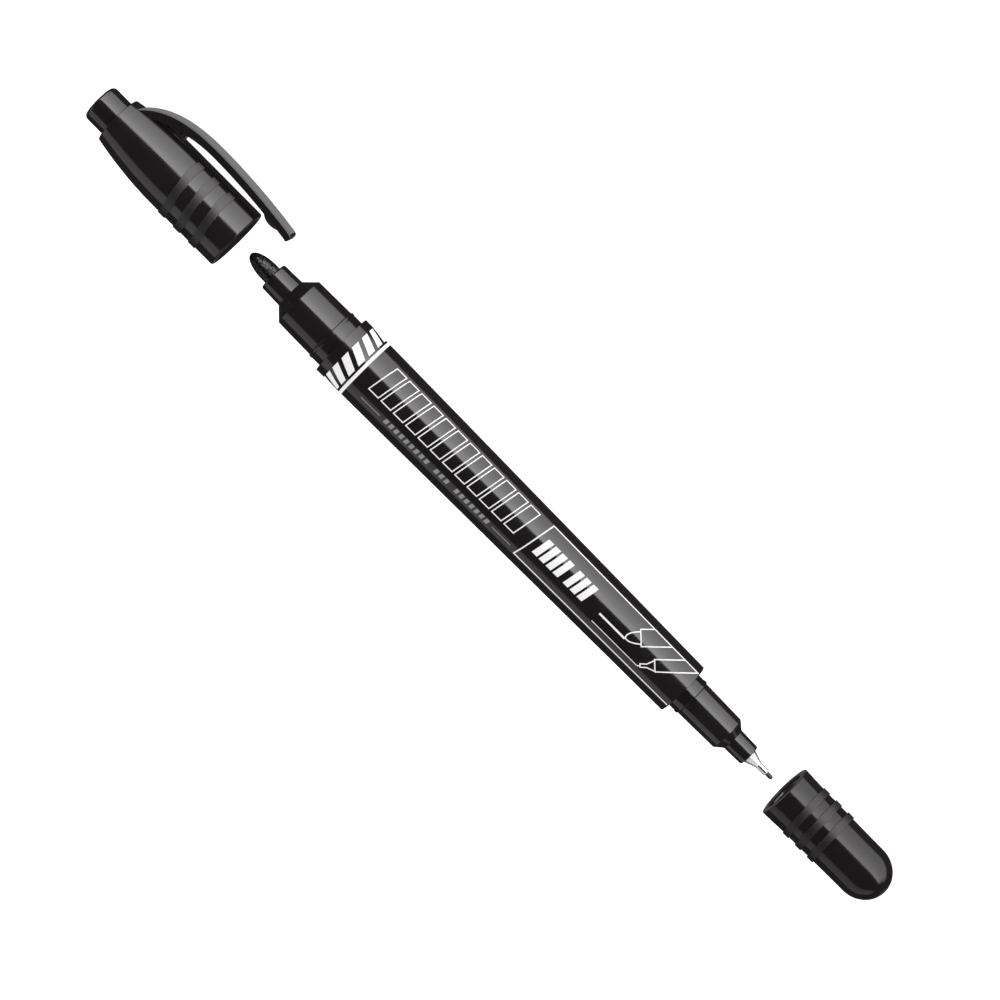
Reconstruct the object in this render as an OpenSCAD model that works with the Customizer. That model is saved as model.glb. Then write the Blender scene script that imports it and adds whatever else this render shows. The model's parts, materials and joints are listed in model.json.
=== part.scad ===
// Twin tip felt marker with both caps pulled off.
// +X runs along the pen, from the fine end to the bullet end. +Z is up.
// The pen lies on its grip rings and on the lower edge of its clip.

/* [Barrel] */
// Length of the barrel tube
barrel_length = 81; // [70:0.5:95]
// Outer radius at the bullet end
barrel_wide_r = 5.87; // [5.7:0.01:6]
// Outer radius at the fine end
barrel_narrow_r = 5; // [4.9:0.01:5.2]
// Radius of the seat for the bullet section
wide_seat_r = 4.75; // [4.7:0.01:4.85]
// Radius of the seat for the fine section
narrow_seat_r = 4.1; // [4.05:0.01:4.2]
// Depth of both seats
seat_depth = 9; // [7:0.5:9.5]
// Thickness of the lip at the fine end
barrel_lip = 1.2; // [0.9:0.1:1.6]
// Number of ribs that centre the reservoir
barrel_ribs = 4; // [3:1:6]

/* [Bullet end] */
// Section length outside the barrel
bullet_section_length = 16.1; // [15.5:0.1:16.5]
// Radius of the collar against the barrel
bullet_collar_r = 4.98; // [4.95:0.01:5.02]
// Radius of the snap bead
bullet_bead_r = 5.09; // [5.05:0.01:5.1]
// Distance of the bead from the barrel
bullet_bead_at = 2.2; // [2:0.1:2.6]
// Radius of the grip cylinder at its back
bullet_grip_back_r = 4.88; // [4.8:0.01:4.92]
// Radius of the grip cylinder at its front
bullet_grip_front_r = 4.78; // [4.7:0.01:4.8]
// Distance from the barrel to the cone
bullet_cone_at = 9.9; // [9.5:0.1:10.2]
// Length of the cone
bullet_cone_length = 2.05; // [1.8:0.05:2.2]
// Radius of the front cylinder at its back
bullet_front_back_r = 2.75; // [2.6:0.01:2.75]
// Radius of the front cylinder at its front
bullet_front_r = 2.66; // [2.5:0.01:2.7]
// Radius of the bullet nib
bullet_nib_r = 1.72; // [1.5:0.01:1.8]
// Distance that the bullet nib stands out
bullet_nib_out = 5.2; // [4.5:0.1:5.4]
// Length of the nib's rounded point
bullet_nib_point = 4.3; // [3.5:0.1:4.4]

/* [Fine end] */
// Section length outside the barrel
fine_section_length = 15.85; // [15.5:0.05:16]
// Radius of the neck through the barrel's lip
fine_neck_r = 3.53; // [3.45:0.01:3.55]
// Radius of the snap bead
fine_bead_r = 3.62; // [3.58:0.01:3.64]
// Distance of the bead from the barrel
fine_bead_at = 1.85; // [1.6:0.05:2.1]
// Radius of the grip cylinder at its back
fine_grip_back_r = 3.4; // [3.3:0.01:3.45]
// Radius of the grip cylinder at its front
fine_grip_front_r = 3.26; // [3.2:0.01:3.3]
// Distance from the barrel to the cone
fine_cone_at = 10.5; // [10:0.1:10.8]
// Length of the cone
fine_cone_length = 1.4; // [1.2:0.05:1.5]
// Radius of the front cylinder at its back
fine_front_back_r = 2.1; // [2:0.01:2.1]
// Radius of the front cylinder at its front
fine_front_r = 2; // [1.9:0.01:2.05]
// Radius of the metal cone at its base
sleeve_base_r = 1.36; // [1.3:0.01:1.4]
// Radius of the metal tube
sleeve_tube_r = 0.6; // [0.56:0.01:0.64]
// Length of the metal cone
sleeve_cone_length = 2.25; // [2:0.05:2.4]
// Length of the metal tube
sleeve_tube_length = 1.85; // [1.6:0.05:1.9]
// Radius of the fine nib
fine_nib_r = 0.41; // [0.36:0.01:0.44]
// Distance that the fine nib stands out of its tube
fine_nib_out = 1.35; // [1:0.05:1.4]
// Number of crimp slots round the tube
crimp_slots = 3; // [2:1:4]

/* [Ink] */
// Radius of the fibre reservoir
reservoir_r = 3.8; // [3.4:0.05:3.8]
// Thickness of the film round the reservoir
wrap_thickness = 0.08; // [0.05:0.01:0.1]

/* [Bullet cap] */
// Length of the shell, without the end plug
bullet_cap_length = 28.1; // [27.8:0.1:29]
// Outer radius of the shell
bullet_cap_r = 5.9; // [5.85:0.01:5.95]
// Radius of the shell at its shoulder
bullet_shoulder_r = 4.5; // [4.4:0.05:4.6]
// Distance from the mouth to the start of the taper
bullet_taper_at = 14.05; // [13.5:0.05:15]
// Wall thickness of the shell
bullet_cap_wall = 0.75; // [0.72:0.01:0.78]
// Radius of the end plug
plug_r = 3.5; // [3.4:0.05:3.55]
// Length of the end plug outside the shell
plug_out = 4.4; // [4.2:0.1:5.2]
// Bore radius of the inner cap
inner_cap_bore_r = 2.8; // [2.78:0.01:2.85]
// Distance that the cap is pulled off
bullet_cap_gap = 24.5; // [21.8:0.1:40]

/* [Fine cap] */
// Length of the shell
fine_cap_length = 23.95; // [23.8:0.05:25]
// Outer radius at the mouth
fine_cap_mouth_r = 5.12; // [5.05:0.01:5.14]
// Outer radius of the plain part
fine_cap_r = 4.93; // [4.85:0.01:4.98]
// Outer radius where the dome starts
fine_dome_r = 4.83; // [4.75:0.01:4.85]
// Length of the dome
fine_dome_length = 5.2; // [4.8:0.1:5.4]
// Bore radius of the shell
fine_cap_bore_r = 3.7; // [3.68:0.01:3.75]
// Distance that the cap is pulled off
fine_cap_gap = 24.2; // [21.8:0.1:40]

/* [Grip rings] */
// Outer radius of the rings on the bullet cap
bullet_ring_r = 6.07; // [6:0.01:6.1]
// Width of the rings on the bullet cap
bullet_ring_w = 1.55; // [1.2:0.05:1.8]
// Distance from the mouth to the first ring on the bullet cap
bullet_ring_at = 5.1; // [4.8:0.1:5.3]
// Distance between the rings on the bullet cap
bullet_ring_pitch = 3.53; // [3.2:0.01:3.6]
// How far the rings wave to each side on the bullet cap
bullet_ring_wave = 0.5; // [0.2:0.05:0.6]
// Direction of the wave's crest, counted from the clip
bullet_ring_turn = 48; // [0:1:90]
// Outer radius of the rings on the fine cap
fine_ring_r = 5.15; // [5.15:0.01:5.25]
// Width of the rings on the fine cap
fine_ring_w = 1.4; // [1:0.05:1.6]
// Distance from the mouth to the first ring on the fine cap
fine_ring_at = 5.25; // [4.8:0.05:5.4]
// Distance between the rings on the fine cap
fine_ring_pitch = 2.87; // [2.6:0.01:3]
// Slant of the rings on the fine cap, in degrees
fine_ring_slant = 10; // [0:1:11]
// Direction of the slant, counted from the clip
fine_ring_turn = 66; // [0:1:90]

/* [Clip] */
// Width of the clip
clip_w = 5; // [4:0.1:5.2]
// Height of the clip's highest point above the pen's axis
clip_top = 9.07; // [9:0.01:9.2]
// Thickness of the clip's arm
clip_thickness = 1.6; // [1.4:0.05:1.7]
// Distance that the clip reaches past the cap's mouth
clip_past_mouth = 6.3; // [5.5:0.1:6.5]
// Width of the web that ties the clip to the cap
web_w = 2.4; // [2:0.1:3]
// Height of the flat under the clip
flat_height = 5.58; // [5.56:0.01:5.62]
// Width of the flat under the clip
flat_w = 3.8; // [3.4:0.1:4]
// Lowest point of the grip bead above the pen's axis
clip_bead_low = 6.02; // [6:0.01:6.1]

/* [Hidden] */
$fn = 96;

// Running clearance between pieces that are pushed into each other
snug = 0.02;
// How far a cutting shape runs past the face that it cuts
over = 1;
// Steps along a curved outline
steps = 14;

// Places along the pen
pen_length = barrel_length + bullet_cap_gap + bullet_cap_length + plug_out
    + fine_cap_gap + fine_cap_length;
wide_end = pen_length / 2 - plug_out - bullet_cap_length - bullet_cap_gap;
narrow_end = wide_end - barrel_length;
bullet_mouth = wide_end + bullet_cap_gap;
fine_mouth = narrow_end - fine_cap_gap;

// The clip's lower outer edge rests on the same plane as the bullet cap's rings
clip_edge_r = norm([clip_top, clip_w / 2]);
clip_edge_turn = atan2(clip_w / 2, clip_top);
clip_drop = asin(bullet_ring_r / clip_edge_r) - clip_edge_turn;
clip_reach = clip_edge_r * cos(clip_drop - clip_edge_turn);
axis_y = (clip_reach - bullet_ring_r) / 2;
axis_z = bullet_ring_r;

// Small rounds and edges
shoulder_round = 0.2;
mouth_round = 0.4;
plug_round = 0.8;
front_round = 0.4;
fine_front_round = 0.3;
barrel_edge = 0.1;

// Inside of the bullet section
bullet_cavity_r = 3.9;
bullet_cavity_end = 7.5;
bullet_cavity_cone = 3;
bullet_bead_half = 0.35;

// Inside of the fine section
fine_cavity_r = 2.5;
fine_cavity_end = 7.5;
fine_cavity_cone = 1.5;
fine_bead_half = 0.4;
feed_r = 1.1;
feed_end = 11.5;
shank_length = 3.6;
shank_r = 1.3;
crimp_w = 0.4;
crimp_length = 1.9;

// Reservoir
reservoir_gap = 1;
nib_grip = 8;
wick_bore = 0.01;

// Barrel ribs
rib_w = 0.6;
rib_inner_r = 3.95;
rib_outer_r = 4.85;

// Inner cap of the bullet cap
inner_cap_mouth = 12.7;
inner_cap_lead = 0.3;
flange_r = 4;
flange_thickness = 1;
snap_groove = 0.2;
shell_end_wall = 1.2;
plug_end_wall = 1.1;

// Liner of the fine cap
liner_mouth = 12.3;
liner_r = 3.15;
liner_bore_r = 2.16;
liner_seal_end = 16.3;
liner_nib_r = 1;
liner_nib_from = 18.4;
liner_bore_end = 21.7;
liner_end = 22.3;
liner_shoulder = 20.2;
liner_end_r = 2.25;
liner_gap = 0.05;
groove_from = 0.5;
groove_w = 0.5;
groove_depth = 0.14;

// Clip
hinge_from_mouth = 17.5;
hinge_slit = 0.08;
root_from_mouth = 27;
root_sunk = 0.6;
flat_end = 23.5;
arm_tip_drop = 1.42;
tip_round = 0.4;
web_from_mouth = 17.6;
clip_bead_from_tip = 4;
clip_bead_length = 4.4;
clip_bead_w = 4.4;
ring_stop_w = 5.7;
web_sunk = 0.2;
ring_sunk = 0.3;

// Control points of the clip's side view, counted back from its root
crest_from_root = 14.9;
outer_start_from_root = 2.85;
outer_top_from_root = 7.9;
inner_start_from_root = 2.1;
inner_bend_from_root = 4.6;
inner_top_from_root = 9.4;

// Share of the outer curve's rise that its first control point lies below the crest
outer_start_drop = 0.31;
// How far the inner curve's bend lies below its highest point
inner_bend_drop = 1.77;

// Control points of the clip's arm, counted from its crest to its free end
arm_top_from_crest = 6;
arm_bend_from_crest = 12.5;
arm_bend_drop = 0.52;

// Angles between which a snap bead is round
bead_arc_from = 150;
bead_arc_to = 30;

// Angles at which the fine cap's dome changes from close to wide steps
dome_close_to = 60;
dome_wide_from = 56;

// A point on a cubic curve with four control points
function curve_point(p, t) = pow(1 - t, 3) * p[0] + 3 * pow(1 - t, 2) * t * p[1]
    + 3 * (1 - t) * t * t * p[2] + pow(t, 3) * p[3];

function curve(p) = [for (i = [0:steps]) curve_point(p, i / steps)];

// Points on a quarter of an ellipse about [x, r], between two angles
function round_edge(x, r, rx, rr, from, to) =
    [for (i = [0:steps / 2]) let (a = from + (to - from) * 2 * i / steps)
        [x + rx * cos(a), r + rr * sin(a)]];

// Radius of the bullet cap's shell at a distance from its mouth
function cap_radius(x) = bullet_cap_r - (bullet_cap_r - bullet_shoulder_r)
    * pow(max(0, x - bullet_taper_at) / (bullet_cap_length - bullet_taper_at), 2);

// A turned solid: the outline's points are [place along X, radius]
module turned(outline) {
    rotate([0, 90, 0])
        rotate_extrude()
            polygon([for (p = outline) [p[1], p[0]]]);
}

// A plain turned cylinder along X
module rod(from, to, r) {
    translate([from, 0, 0])
        rotate([0, 90, 0])
            cylinder(r = r, h = to - from);
}

// The pen's own directions: the clip points to local +Z
module pen() {
    translate([0, axis_y, axis_z])
        rotate([90 + clip_drop, 0, 0])
            children();
}

// Outward along the bullet end, counted from the barrel's wide end
module bullet_end() {
    pen() translate([wide_end, 0, 0]) children();
}

// Outward along the fine end, counted from the barrel's narrow end
module fine_end() {
    pen() translate([narrow_end, 0, 0]) mirror([1, 0, 0]) children();
}

// Counted from the bullet cap's mouth to its closed end
module bullet_cap() {
    pen() translate([bullet_mouth, 0, 0]) children();
}

// Counted from the fine cap's mouth to its closed end
module fine_cap() {
    pen() translate([fine_mouth, 0, 0]) mirror([1, 0, 0]) children();
}

module barrel() {
    color("#1c1a1b")
        pen() {
            difference() {
                turned([
                    [narrow_end, 0],
                    [narrow_end, barrel_narrow_r - barrel_edge],
                    [narrow_end + barrel_edge, barrel_narrow_r],
                    [wide_end - barrel_edge, barrel_wide_r],
                    [wide_end, barrel_wide_r - barrel_edge],
                    [wide_end, 0]
                ]);
                turned([
                    [narrow_end + barrel_lip, 0],
                    [narrow_end + barrel_lip, narrow_seat_r],
                    [narrow_end + seat_depth, narrow_seat_r],
                    [wide_end - seat_depth, wide_seat_r],
                    [wide_end + over, wide_seat_r],
                    [wide_end + over, 0]
                ]);
                rod(narrow_end - over, narrow_end + barrel_lip + over, fine_neck_r + snug);
            }
            for (i = [1:barrel_ribs])
                rotate([360 * i / barrel_ribs, 0, 0])
                    translate([narrow_end + seat_depth + over, -rib_w / 2, rib_inner_r])
                        cube([barrel_length - 2 * seat_depth - 2 * over, rib_w,
                            rib_outer_r - rib_inner_r]);
        }
}

module bullet_section() {
    cone_end = bullet_cone_at + bullet_cone_length;
    color("#1c1a1b")
        bullet_end()
            turned(concat(
                [
                    [-seat_depth, bullet_cavity_r],
                    [-seat_depth, wide_seat_r - snug],
                    [0, wide_seat_r - snug],
                    [0, bullet_collar_r],
                    [bullet_bead_at - bullet_bead_half, bullet_collar_r]
                ],
                round_edge(bullet_bead_at, bullet_collar_r, bullet_bead_half,
                    bullet_bead_r - bullet_collar_r, bead_arc_from, bead_arc_to),
                [
                    [bullet_bead_at + bullet_bead_half, bullet_grip_back_r],
                    [bullet_cone_at, bullet_grip_front_r],
                    [cone_end, bullet_front_back_r]
                ],
                round_edge(bullet_section_length - front_round, bullet_front_r - front_round,
                    front_round, front_round, 90, 0),
                [
                    [bullet_section_length, bullet_nib_r + snug],
                    [bullet_cavity_end + bullet_cavity_cone, bullet_nib_r + snug],
                    [bullet_cavity_end, bullet_cavity_r - bullet_front_back_r / 2],
                    [bullet_cavity_end - bullet_cavity_cone, bullet_cavity_r]
                ]));
}

module bullet_nib() {
    tip = bullet_section_length + bullet_nib_out;
    back = -seat_depth - reservoir_gap - nib_grip;
    color("#0d0d0d")
        bullet_end()
            turned(concat(
                [[back, 0], [back, bullet_nib_r / 2], [back + bullet_nib_r, bullet_nib_r]],
                round_edge(tip - bullet_nib_point, 0, bullet_nib_point, bullet_nib_r, 90, 0)));
}

module fine_section() {
    cone_end = fine_cone_at + fine_cone_length;
    color("#1c1a1b")
        fine_end()
            turned(concat(
                [
                    [-seat_depth, fine_cavity_r],
                    [-seat_depth, narrow_seat_r - snug],
                    [-barrel_lip, narrow_seat_r - snug],
                    [-barrel_lip, fine_neck_r],
                    [fine_bead_at - fine_bead_half, fine_neck_r]
                ],
                round_edge(fine_bead_at, fine_neck_r, fine_bead_half, fine_bead_r - fine_neck_r,
                    bead_arc_from, bead_arc_to),
                [
                    [fine_bead_at + fine_bead_half, fine_grip_back_r],
                    [fine_cone_at, fine_grip_front_r],
                    [cone_end, fine_front_back_r]
                ],
                round_edge(fine_section_length - fine_front_round, fine_front_r - fine_front_round,
                    fine_front_round, fine_front_round, 90, 0),
                [
                    [fine_section_length, shank_r + snug],
                    [fine_section_length - shank_length, shank_r + snug],
                    [fine_section_length - shank_length, feed_r + snug],
                    [fine_cavity_end + fine_cavity_cone, feed_r + snug],
                    [fine_cavity_end, fine_cavity_r]
                ]));
}

module fine_nib_sleeve() {
    cone_end = fine_section_length + sleeve_cone_length;
    tube_end = cone_end + sleeve_tube_length;
    color("#d8dadc")
        fine_end()
            difference() {
                turned([
                    [fine_section_length - shank_length + snug, fine_nib_r + snug],
                    [fine_section_length - shank_length + snug, shank_r],
                    [fine_section_length, shank_r],
                    [fine_section_length, sleeve_base_r],
                    [cone_end, sleeve_tube_r],
                    [tube_end, sleeve_tube_r],
                    [tube_end, fine_nib_r + snug]
                ]);
                for (i = [1:crimp_slots])
                    rotate([360 * i / crimp_slots - 90, 0, 0])
                        translate([tube_end - crimp_length, -crimp_w / 2, fine_nib_r])
                            cube([crimp_length - crimp_w / 2, crimp_w, sleeve_tube_r]);
            }
}

module fine_nib() {
    tip = fine_section_length + sleeve_cone_length + sleeve_tube_length + fine_nib_out;
    back = -seat_depth - reservoir_gap - nib_grip;
    color("#2b2b2b")
        fine_end()
            turned(concat(
                [[back, 0], [back, feed_r / 2], [back + feed_r, feed_r], [feed_end, feed_r],
                    [feed_end, fine_nib_r]],
                round_edge(tip - fine_nib_r, 0, fine_nib_r, fine_nib_r, 90, 0)));
}

module ink_reservoir() {
    from = narrow_end + seat_depth + reservoir_gap;
    to = wide_end - seat_depth - reservoir_gap;
    socket = nib_grip + snug;
    color("#303034")
        pen()
            difference() {
                rod(from, to, reservoir_r);
                rod(to - socket, to + over, bullet_nib_r + wick_bore);
                rod(from - over, from + socket, feed_r + wick_bore);
            }
}

module reservoir_wrap() {
    from = narrow_end + seat_depth + reservoir_gap;
    to = wide_end - seat_depth - reservoir_gap;
    color("#e6e6e0")
        pen()
            difference() {
                rod(from, to, reservoir_r + wick_bore + wrap_thickness);
                rod(from - over, to + over, reservoir_r + wick_bore);
            }
}

// One raised ring whose centre line waves twice round the bullet cap
module waved_ring(at) {
    bend_r = (pow(bullet_ring_r, 2) + pow(2 * bullet_ring_wave, 2)) / (4 * bullet_ring_wave);
    wave_reach = 2 * bullet_ring_wave + bullet_ring_w;
    difference() {
        intersection() {
            difference() {
                rod(at - wave_reach, at + wave_reach, bullet_ring_r);
                rod(at - wave_reach - over, at + wave_reach + over,
                    bullet_cap_r - bullet_cap_wall / 2);
            }
            rotate([-bullet_ring_turn, 0, 0])
                translate([at - bullet_ring_wave + bend_r, 0, 0])
                    rotate([90, 0, 0])
                        difference() {
                            cylinder(r = bend_r + bullet_ring_w / 2, h = 3 * bullet_ring_r,
                                center = true);
                            cylinder(r = bend_r - bullet_ring_w / 2, h = 4 * bullet_ring_r,
                                center = true);
                        }
        }
        translate([at - 2 * wave_reach, -ring_stop_w / 2, 0])
            cube([4 * wave_reach, ring_stop_w, 2 * bullet_ring_r]);
    }
}

// Side view of the clip, from its root at the shoulder to its free end
function clip_outer() = let (
    root = root_from_mouth,
    crest = root - crest_from_root,
    rise = clip_top - bullet_shoulder_r)
    concat(
        curve([
            [root, bullet_shoulder_r - root_sunk],
            [root - outer_start_from_root, clip_top - outer_start_drop * rise],
            [root - outer_top_from_root, clip_top],
            [crest, clip_top]
        ]),
        curve([
            [crest, clip_top],
            [crest - arm_top_from_crest, clip_top],
            [crest - arm_bend_from_crest, clip_top - arm_bend_drop],
            [-clip_past_mouth, clip_top - arm_tip_drop]
        ]));

function clip_inner() = let (
    root = root_from_mouth,
    crest = root - crest_from_root,
    under = clip_top - clip_thickness)
    concat(
        curve([
            [-clip_past_mouth, under - arm_tip_drop],
            [crest - arm_bend_from_crest, under - arm_bend_drop],
            [crest - arm_top_from_crest, under],
            [crest, under]
        ]),
        curve([
            [crest, under],
            [root - inner_top_from_root, under],
            [root - inner_bend_from_root, under - inner_bend_drop],
            [root - inner_start_from_root, bullet_shoulder_r - root_sunk]
        ]));

module clip_side_view() {
    polygon(concat(clip_outer(), clip_inner()));
}

// A prism of the clip's side view, cut to the stretch between two places
module clip_stretch(from, to) {
    intersection() {
        rotate([90, 0, 0])
            linear_extrude(clip_w, center = true)
                clip_side_view();
        translate([from, -clip_w, 0])
            cube([to - from, 2 * clip_w, 2 * clip_top]);
    }
}

module bullet_cap_shell() {
    inner_end = bullet_cap_length - shell_end_wall;
    taper = [for (i = [0:steps])
        bullet_taper_at + (bullet_cap_length - shoulder_round - bullet_taper_at) * i / steps];
    inner_taper = [for (i = [0:steps]) inner_end - (inner_end - bullet_taper_at) * i / steps];
    color("#1e1c1d")
        bullet_cap() {
            difference() {
                union() {
                    turned(concat(
                        [[0, 0]],
                        round_edge(mouth_round, bullet_cap_r - mouth_round, mouth_round,
                            mouth_round, 180, 90),
                        [for (x = taper) [x, cap_radius(x)]],
                        [[bullet_cap_length, cap_radius(bullet_cap_length) - shoulder_round],
                            [bullet_cap_length, 0]]));
                    translate([over, -flat_w / 2, 0])
                        cube([flat_end - over, flat_w, flat_height]);
                    for (i = [0:2])
                        waved_ring(bullet_ring_at + i * bullet_ring_pitch);
                }
                translate([-over, -flat_w / 2, flat_height])
                    cube([bullet_cap_length + 2 * over, flat_w, bullet_cap_r]);
                turned(concat(
                    [[-over, 0], [-over, bullet_cap_r - bullet_cap_wall]],
                    [for (i = [steps:-1:0]) [inner_taper[i],
                        cap_radius(inner_taper[i]) - bullet_cap_wall]],
                    [[inner_end, 0]]));
                rod(inner_end - over, bullet_cap_length + over, plug_r - snap_groove + snug);
            }
            difference() {
                union() {
                    clip_stretch(hinge_from_mouth + hinge_slit, bullet_cap_length);
                    intersection() {
                        rotate([90, 0, 0])
                            linear_extrude(web_w, center = true)
                                polygon(concat(clip_outer(),
                                    [[web_from_mouth, flat_height - web_sunk]]));
                        translate([web_from_mouth, -web_w, flat_height - web_sunk])
                            cube([bullet_cap_length - web_from_mouth, 2 * web_w, clip_top]);
                    }
                }
                turned([for (x = [-over, bullet_taper_at, (bullet_taper_at + inner_end) / 2,
                    inner_end]) [x, cap_radius(x) - bullet_cap_wall / 2]]);
            }
        }
}

module cap_clip() {
    bead_mid = -clip_past_mouth + clip_bead_from_tip;
    bead_top = clip_top - arm_tip_drop - clip_thickness / 2;
    bead_depth = bead_top - clip_bead_low;
    bead_r = (pow(clip_bead_length / 2, 2) + pow(bead_depth, 2)) / (2 * bead_depth);
    color("#1e1c1d")
        bullet_cap() {
            difference() {
                clip_stretch(-clip_past_mouth - over, hinge_from_mouth);
                translate([-clip_past_mouth - over, -clip_w, 0])
                    cube([over + tip_round / 2, 2 * clip_w, clip_top - arm_tip_drop
                        - clip_thickness + tip_round / 2]);
            }
            intersection() {
                translate([bead_mid, 0, clip_bead_low + bead_r])
                    rotate([90, 0, 0])
                        cylinder(r = bead_r, h = clip_bead_w, center = true);
                translate([bead_mid - clip_bead_length, -clip_bead_w, 0])
                    cube([2 * clip_bead_length, 2 * clip_bead_w, bead_top]);
            }
        }
}

module bullet_inner_cap() {
    end = bullet_cap_length + plug_out;
    seat = bullet_cap_length - shell_end_wall;
    color("#222021")
        bullet_cap()
            turned(concat(
                [
                    [inner_cap_mouth, inner_cap_bore_r],
                    [inner_cap_mouth, plug_r - inner_cap_lead],
                    [inner_cap_mouth + over, plug_r],
                    [seat - flange_thickness, plug_r],
                    [seat - flange_thickness, flange_r],
                    [seat, flange_r],
                    [seat, plug_r - snap_groove],
                    [bullet_cap_length, plug_r - snap_groove],
                    [bullet_cap_length, plug_r]
                ],
                round_edge(end - plug_round, plug_r - plug_round, plug_round, plug_round, 90, 0),
                [[end, 0], [end - plug_end_wall, 0], [end - plug_end_wall, inner_cap_bore_r]]));
}

// One raised ring that lies on a slant round the fine cap
module slanted_ring(at) {
    slant_reach = fine_ring_r * tan(fine_ring_slant) + fine_ring_w;
    intersection() {
        difference() {
            rod(at - slant_reach, at + slant_reach, fine_ring_r);
            rod(at - slant_reach - over, at + slant_reach + over, fine_cap_r - ring_sunk);
        }
        translate([at, 0, 0])
            rotate([-fine_ring_turn, -fine_ring_slant, 0])
                rotate([0, 90, 0])
                    cylinder(r = 2 * fine_ring_r, h = fine_ring_w, center = true);
    }
}

module fine_cap_shell() {
    dome_at = fine_cap_length - fine_dome_length;
    color("#1e1c1d")
        fine_cap()
            difference() {
                union() {
                    turned(concat(
                        [
                            [0, 0],
                            [0, fine_cap_mouth_r - barrel_edge],
                            [barrel_edge, fine_cap_mouth_r],
                            [fine_ring_at, fine_cap_r]
                        ],
                        round_edge(dome_at, 0, fine_dome_length, fine_dome_r, 90, dome_close_to),
                        round_edge(dome_at, 0, fine_dome_length, fine_dome_r, dome_wide_from, 0)));
                    for (i = [0:2])
                        slanted_ring(fine_ring_at + i * fine_ring_pitch);
                }
                turned([
                    [-over, 0],
                    [-over, fine_cap_bore_r],
                    [groove_from, fine_cap_bore_r],
                    [groove_from, fine_cap_bore_r + groove_depth],
                    [groove_from + groove_w, fine_cap_bore_r + groove_depth],
                    [groove_from + groove_w, fine_cap_bore_r],
                    [liner_mouth - barrel_edge, fine_cap_bore_r],
                    [liner_mouth - barrel_edge, liner_r + liner_gap],
                    [liner_shoulder + liner_gap, liner_r + liner_gap],
                    [liner_end + liner_gap, liner_end_r + liner_gap],
                    [liner_end + liner_gap, 0]
                ]);
            }
}

module fine_inner_cap() {
    color("#e4e2dc")
        fine_cap()
            turned([
                [liner_mouth, liner_bore_r],
                [liner_mouth, liner_r],
                [liner_shoulder, liner_r],
                [liner_end, liner_end_r],
                [liner_end, 0],
                [liner_bore_end, 0],
                [liner_bore_end, liner_nib_r],
                [liner_nib_from, liner_nib_r],
                [liner_seal_end, liner_bore_r]
            ]);
}

barrel();
bullet_section();
bullet_nib();
fine_section();
fine_nib_sleeve();
fine_nib();
ink_reservoir();
reservoir_wrap();
bullet_cap_shell();
cap_clip();
bullet_inner_cap();
fine_cap_shell();
fine_inner_cap();
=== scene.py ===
"""Looks of the twin tip felt marker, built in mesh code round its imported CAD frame.

Lengths are millimetres along the pen's own directions until a mesh is made: x runs along the pen, z from
its axis towards the clip, and y towards the side between them that faces the camera. Angles round the
pen are degrees from z towards y. piece() turns all of it into metres in the row frame.
"""

import json
import math

import bmesh
import bpy
from mathutils import Matrix, Vector


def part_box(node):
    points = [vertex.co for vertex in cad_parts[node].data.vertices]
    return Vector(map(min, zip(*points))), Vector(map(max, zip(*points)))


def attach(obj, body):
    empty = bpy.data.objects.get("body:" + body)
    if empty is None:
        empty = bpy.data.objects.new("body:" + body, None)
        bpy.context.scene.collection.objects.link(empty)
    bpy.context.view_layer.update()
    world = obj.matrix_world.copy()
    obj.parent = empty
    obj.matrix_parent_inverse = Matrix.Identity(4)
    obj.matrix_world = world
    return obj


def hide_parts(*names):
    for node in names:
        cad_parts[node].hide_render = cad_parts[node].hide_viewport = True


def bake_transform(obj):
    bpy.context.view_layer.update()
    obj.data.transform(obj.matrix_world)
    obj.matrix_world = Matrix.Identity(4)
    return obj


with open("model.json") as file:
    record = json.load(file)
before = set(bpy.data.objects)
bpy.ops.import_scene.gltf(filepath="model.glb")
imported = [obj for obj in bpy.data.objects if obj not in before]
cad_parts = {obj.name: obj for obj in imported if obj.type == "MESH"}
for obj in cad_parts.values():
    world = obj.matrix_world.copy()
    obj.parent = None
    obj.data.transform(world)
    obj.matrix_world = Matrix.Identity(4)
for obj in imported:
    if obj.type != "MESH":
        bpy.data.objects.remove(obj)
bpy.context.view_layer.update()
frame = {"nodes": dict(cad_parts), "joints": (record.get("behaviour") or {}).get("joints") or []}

MM = 0.001
SEGMENTS = 192
ARC_STEPS = 8
SHARP_ANGLE = math.radians(14)
SOFT_NORMALS = "even_normals"
MERGE = 2e-7


# ---- The pen's own frame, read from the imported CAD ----


def side_direction():
    """The clip flexes about the pen's y direction."""
    hinge = next(j for j in frame["joints"] if j["name"] == "clip_flex")
    return Vector(hinge["axis"]).normalized()


def pen_matrix():
    """From the pen's millimetres to the row frame's metres."""
    side = side_direction()
    clip = Vector((1, 0, 0)).cross(side)
    low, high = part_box("ink_reservoir")
    centre = (low + high) / 2
    y_row = (0, side.y * MM, clip.y * MM, centre.y)
    z_row = (0, side.z * MM, clip.z * MM, centre.z)
    return Matrix(((MM, 0, 0, 0), y_row, z_row, (0, 0, 0, 1)))


PEN = pen_matrix()
WIDE_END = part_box("barrel")[1].x / MM
NARROW_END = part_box("barrel")[0].x / MM
BULLET_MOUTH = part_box("bullet_cap_shell")[0].x / MM
FINE_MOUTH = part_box("fine_cap_shell")[1].x / MM
BARREL_LENGTH = WIDE_END - NARROW_END

# Each end counts its own distance u outward from a face: x = origin + way * u
BARREL = (NARROW_END, 1)
BULLET_END = (WIDE_END, 1)
FINE_END = (NARROW_END, -1)
BULLET_CAP = (BULLET_MOUTH, 1)
FINE_CAP = (FINE_MOUTH, -1)


# ---- Mesh helpers ----


def polar(r, degrees):
    a = math.radians(degrees)
    return r * math.sin(a), r * math.cos(a)


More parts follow.
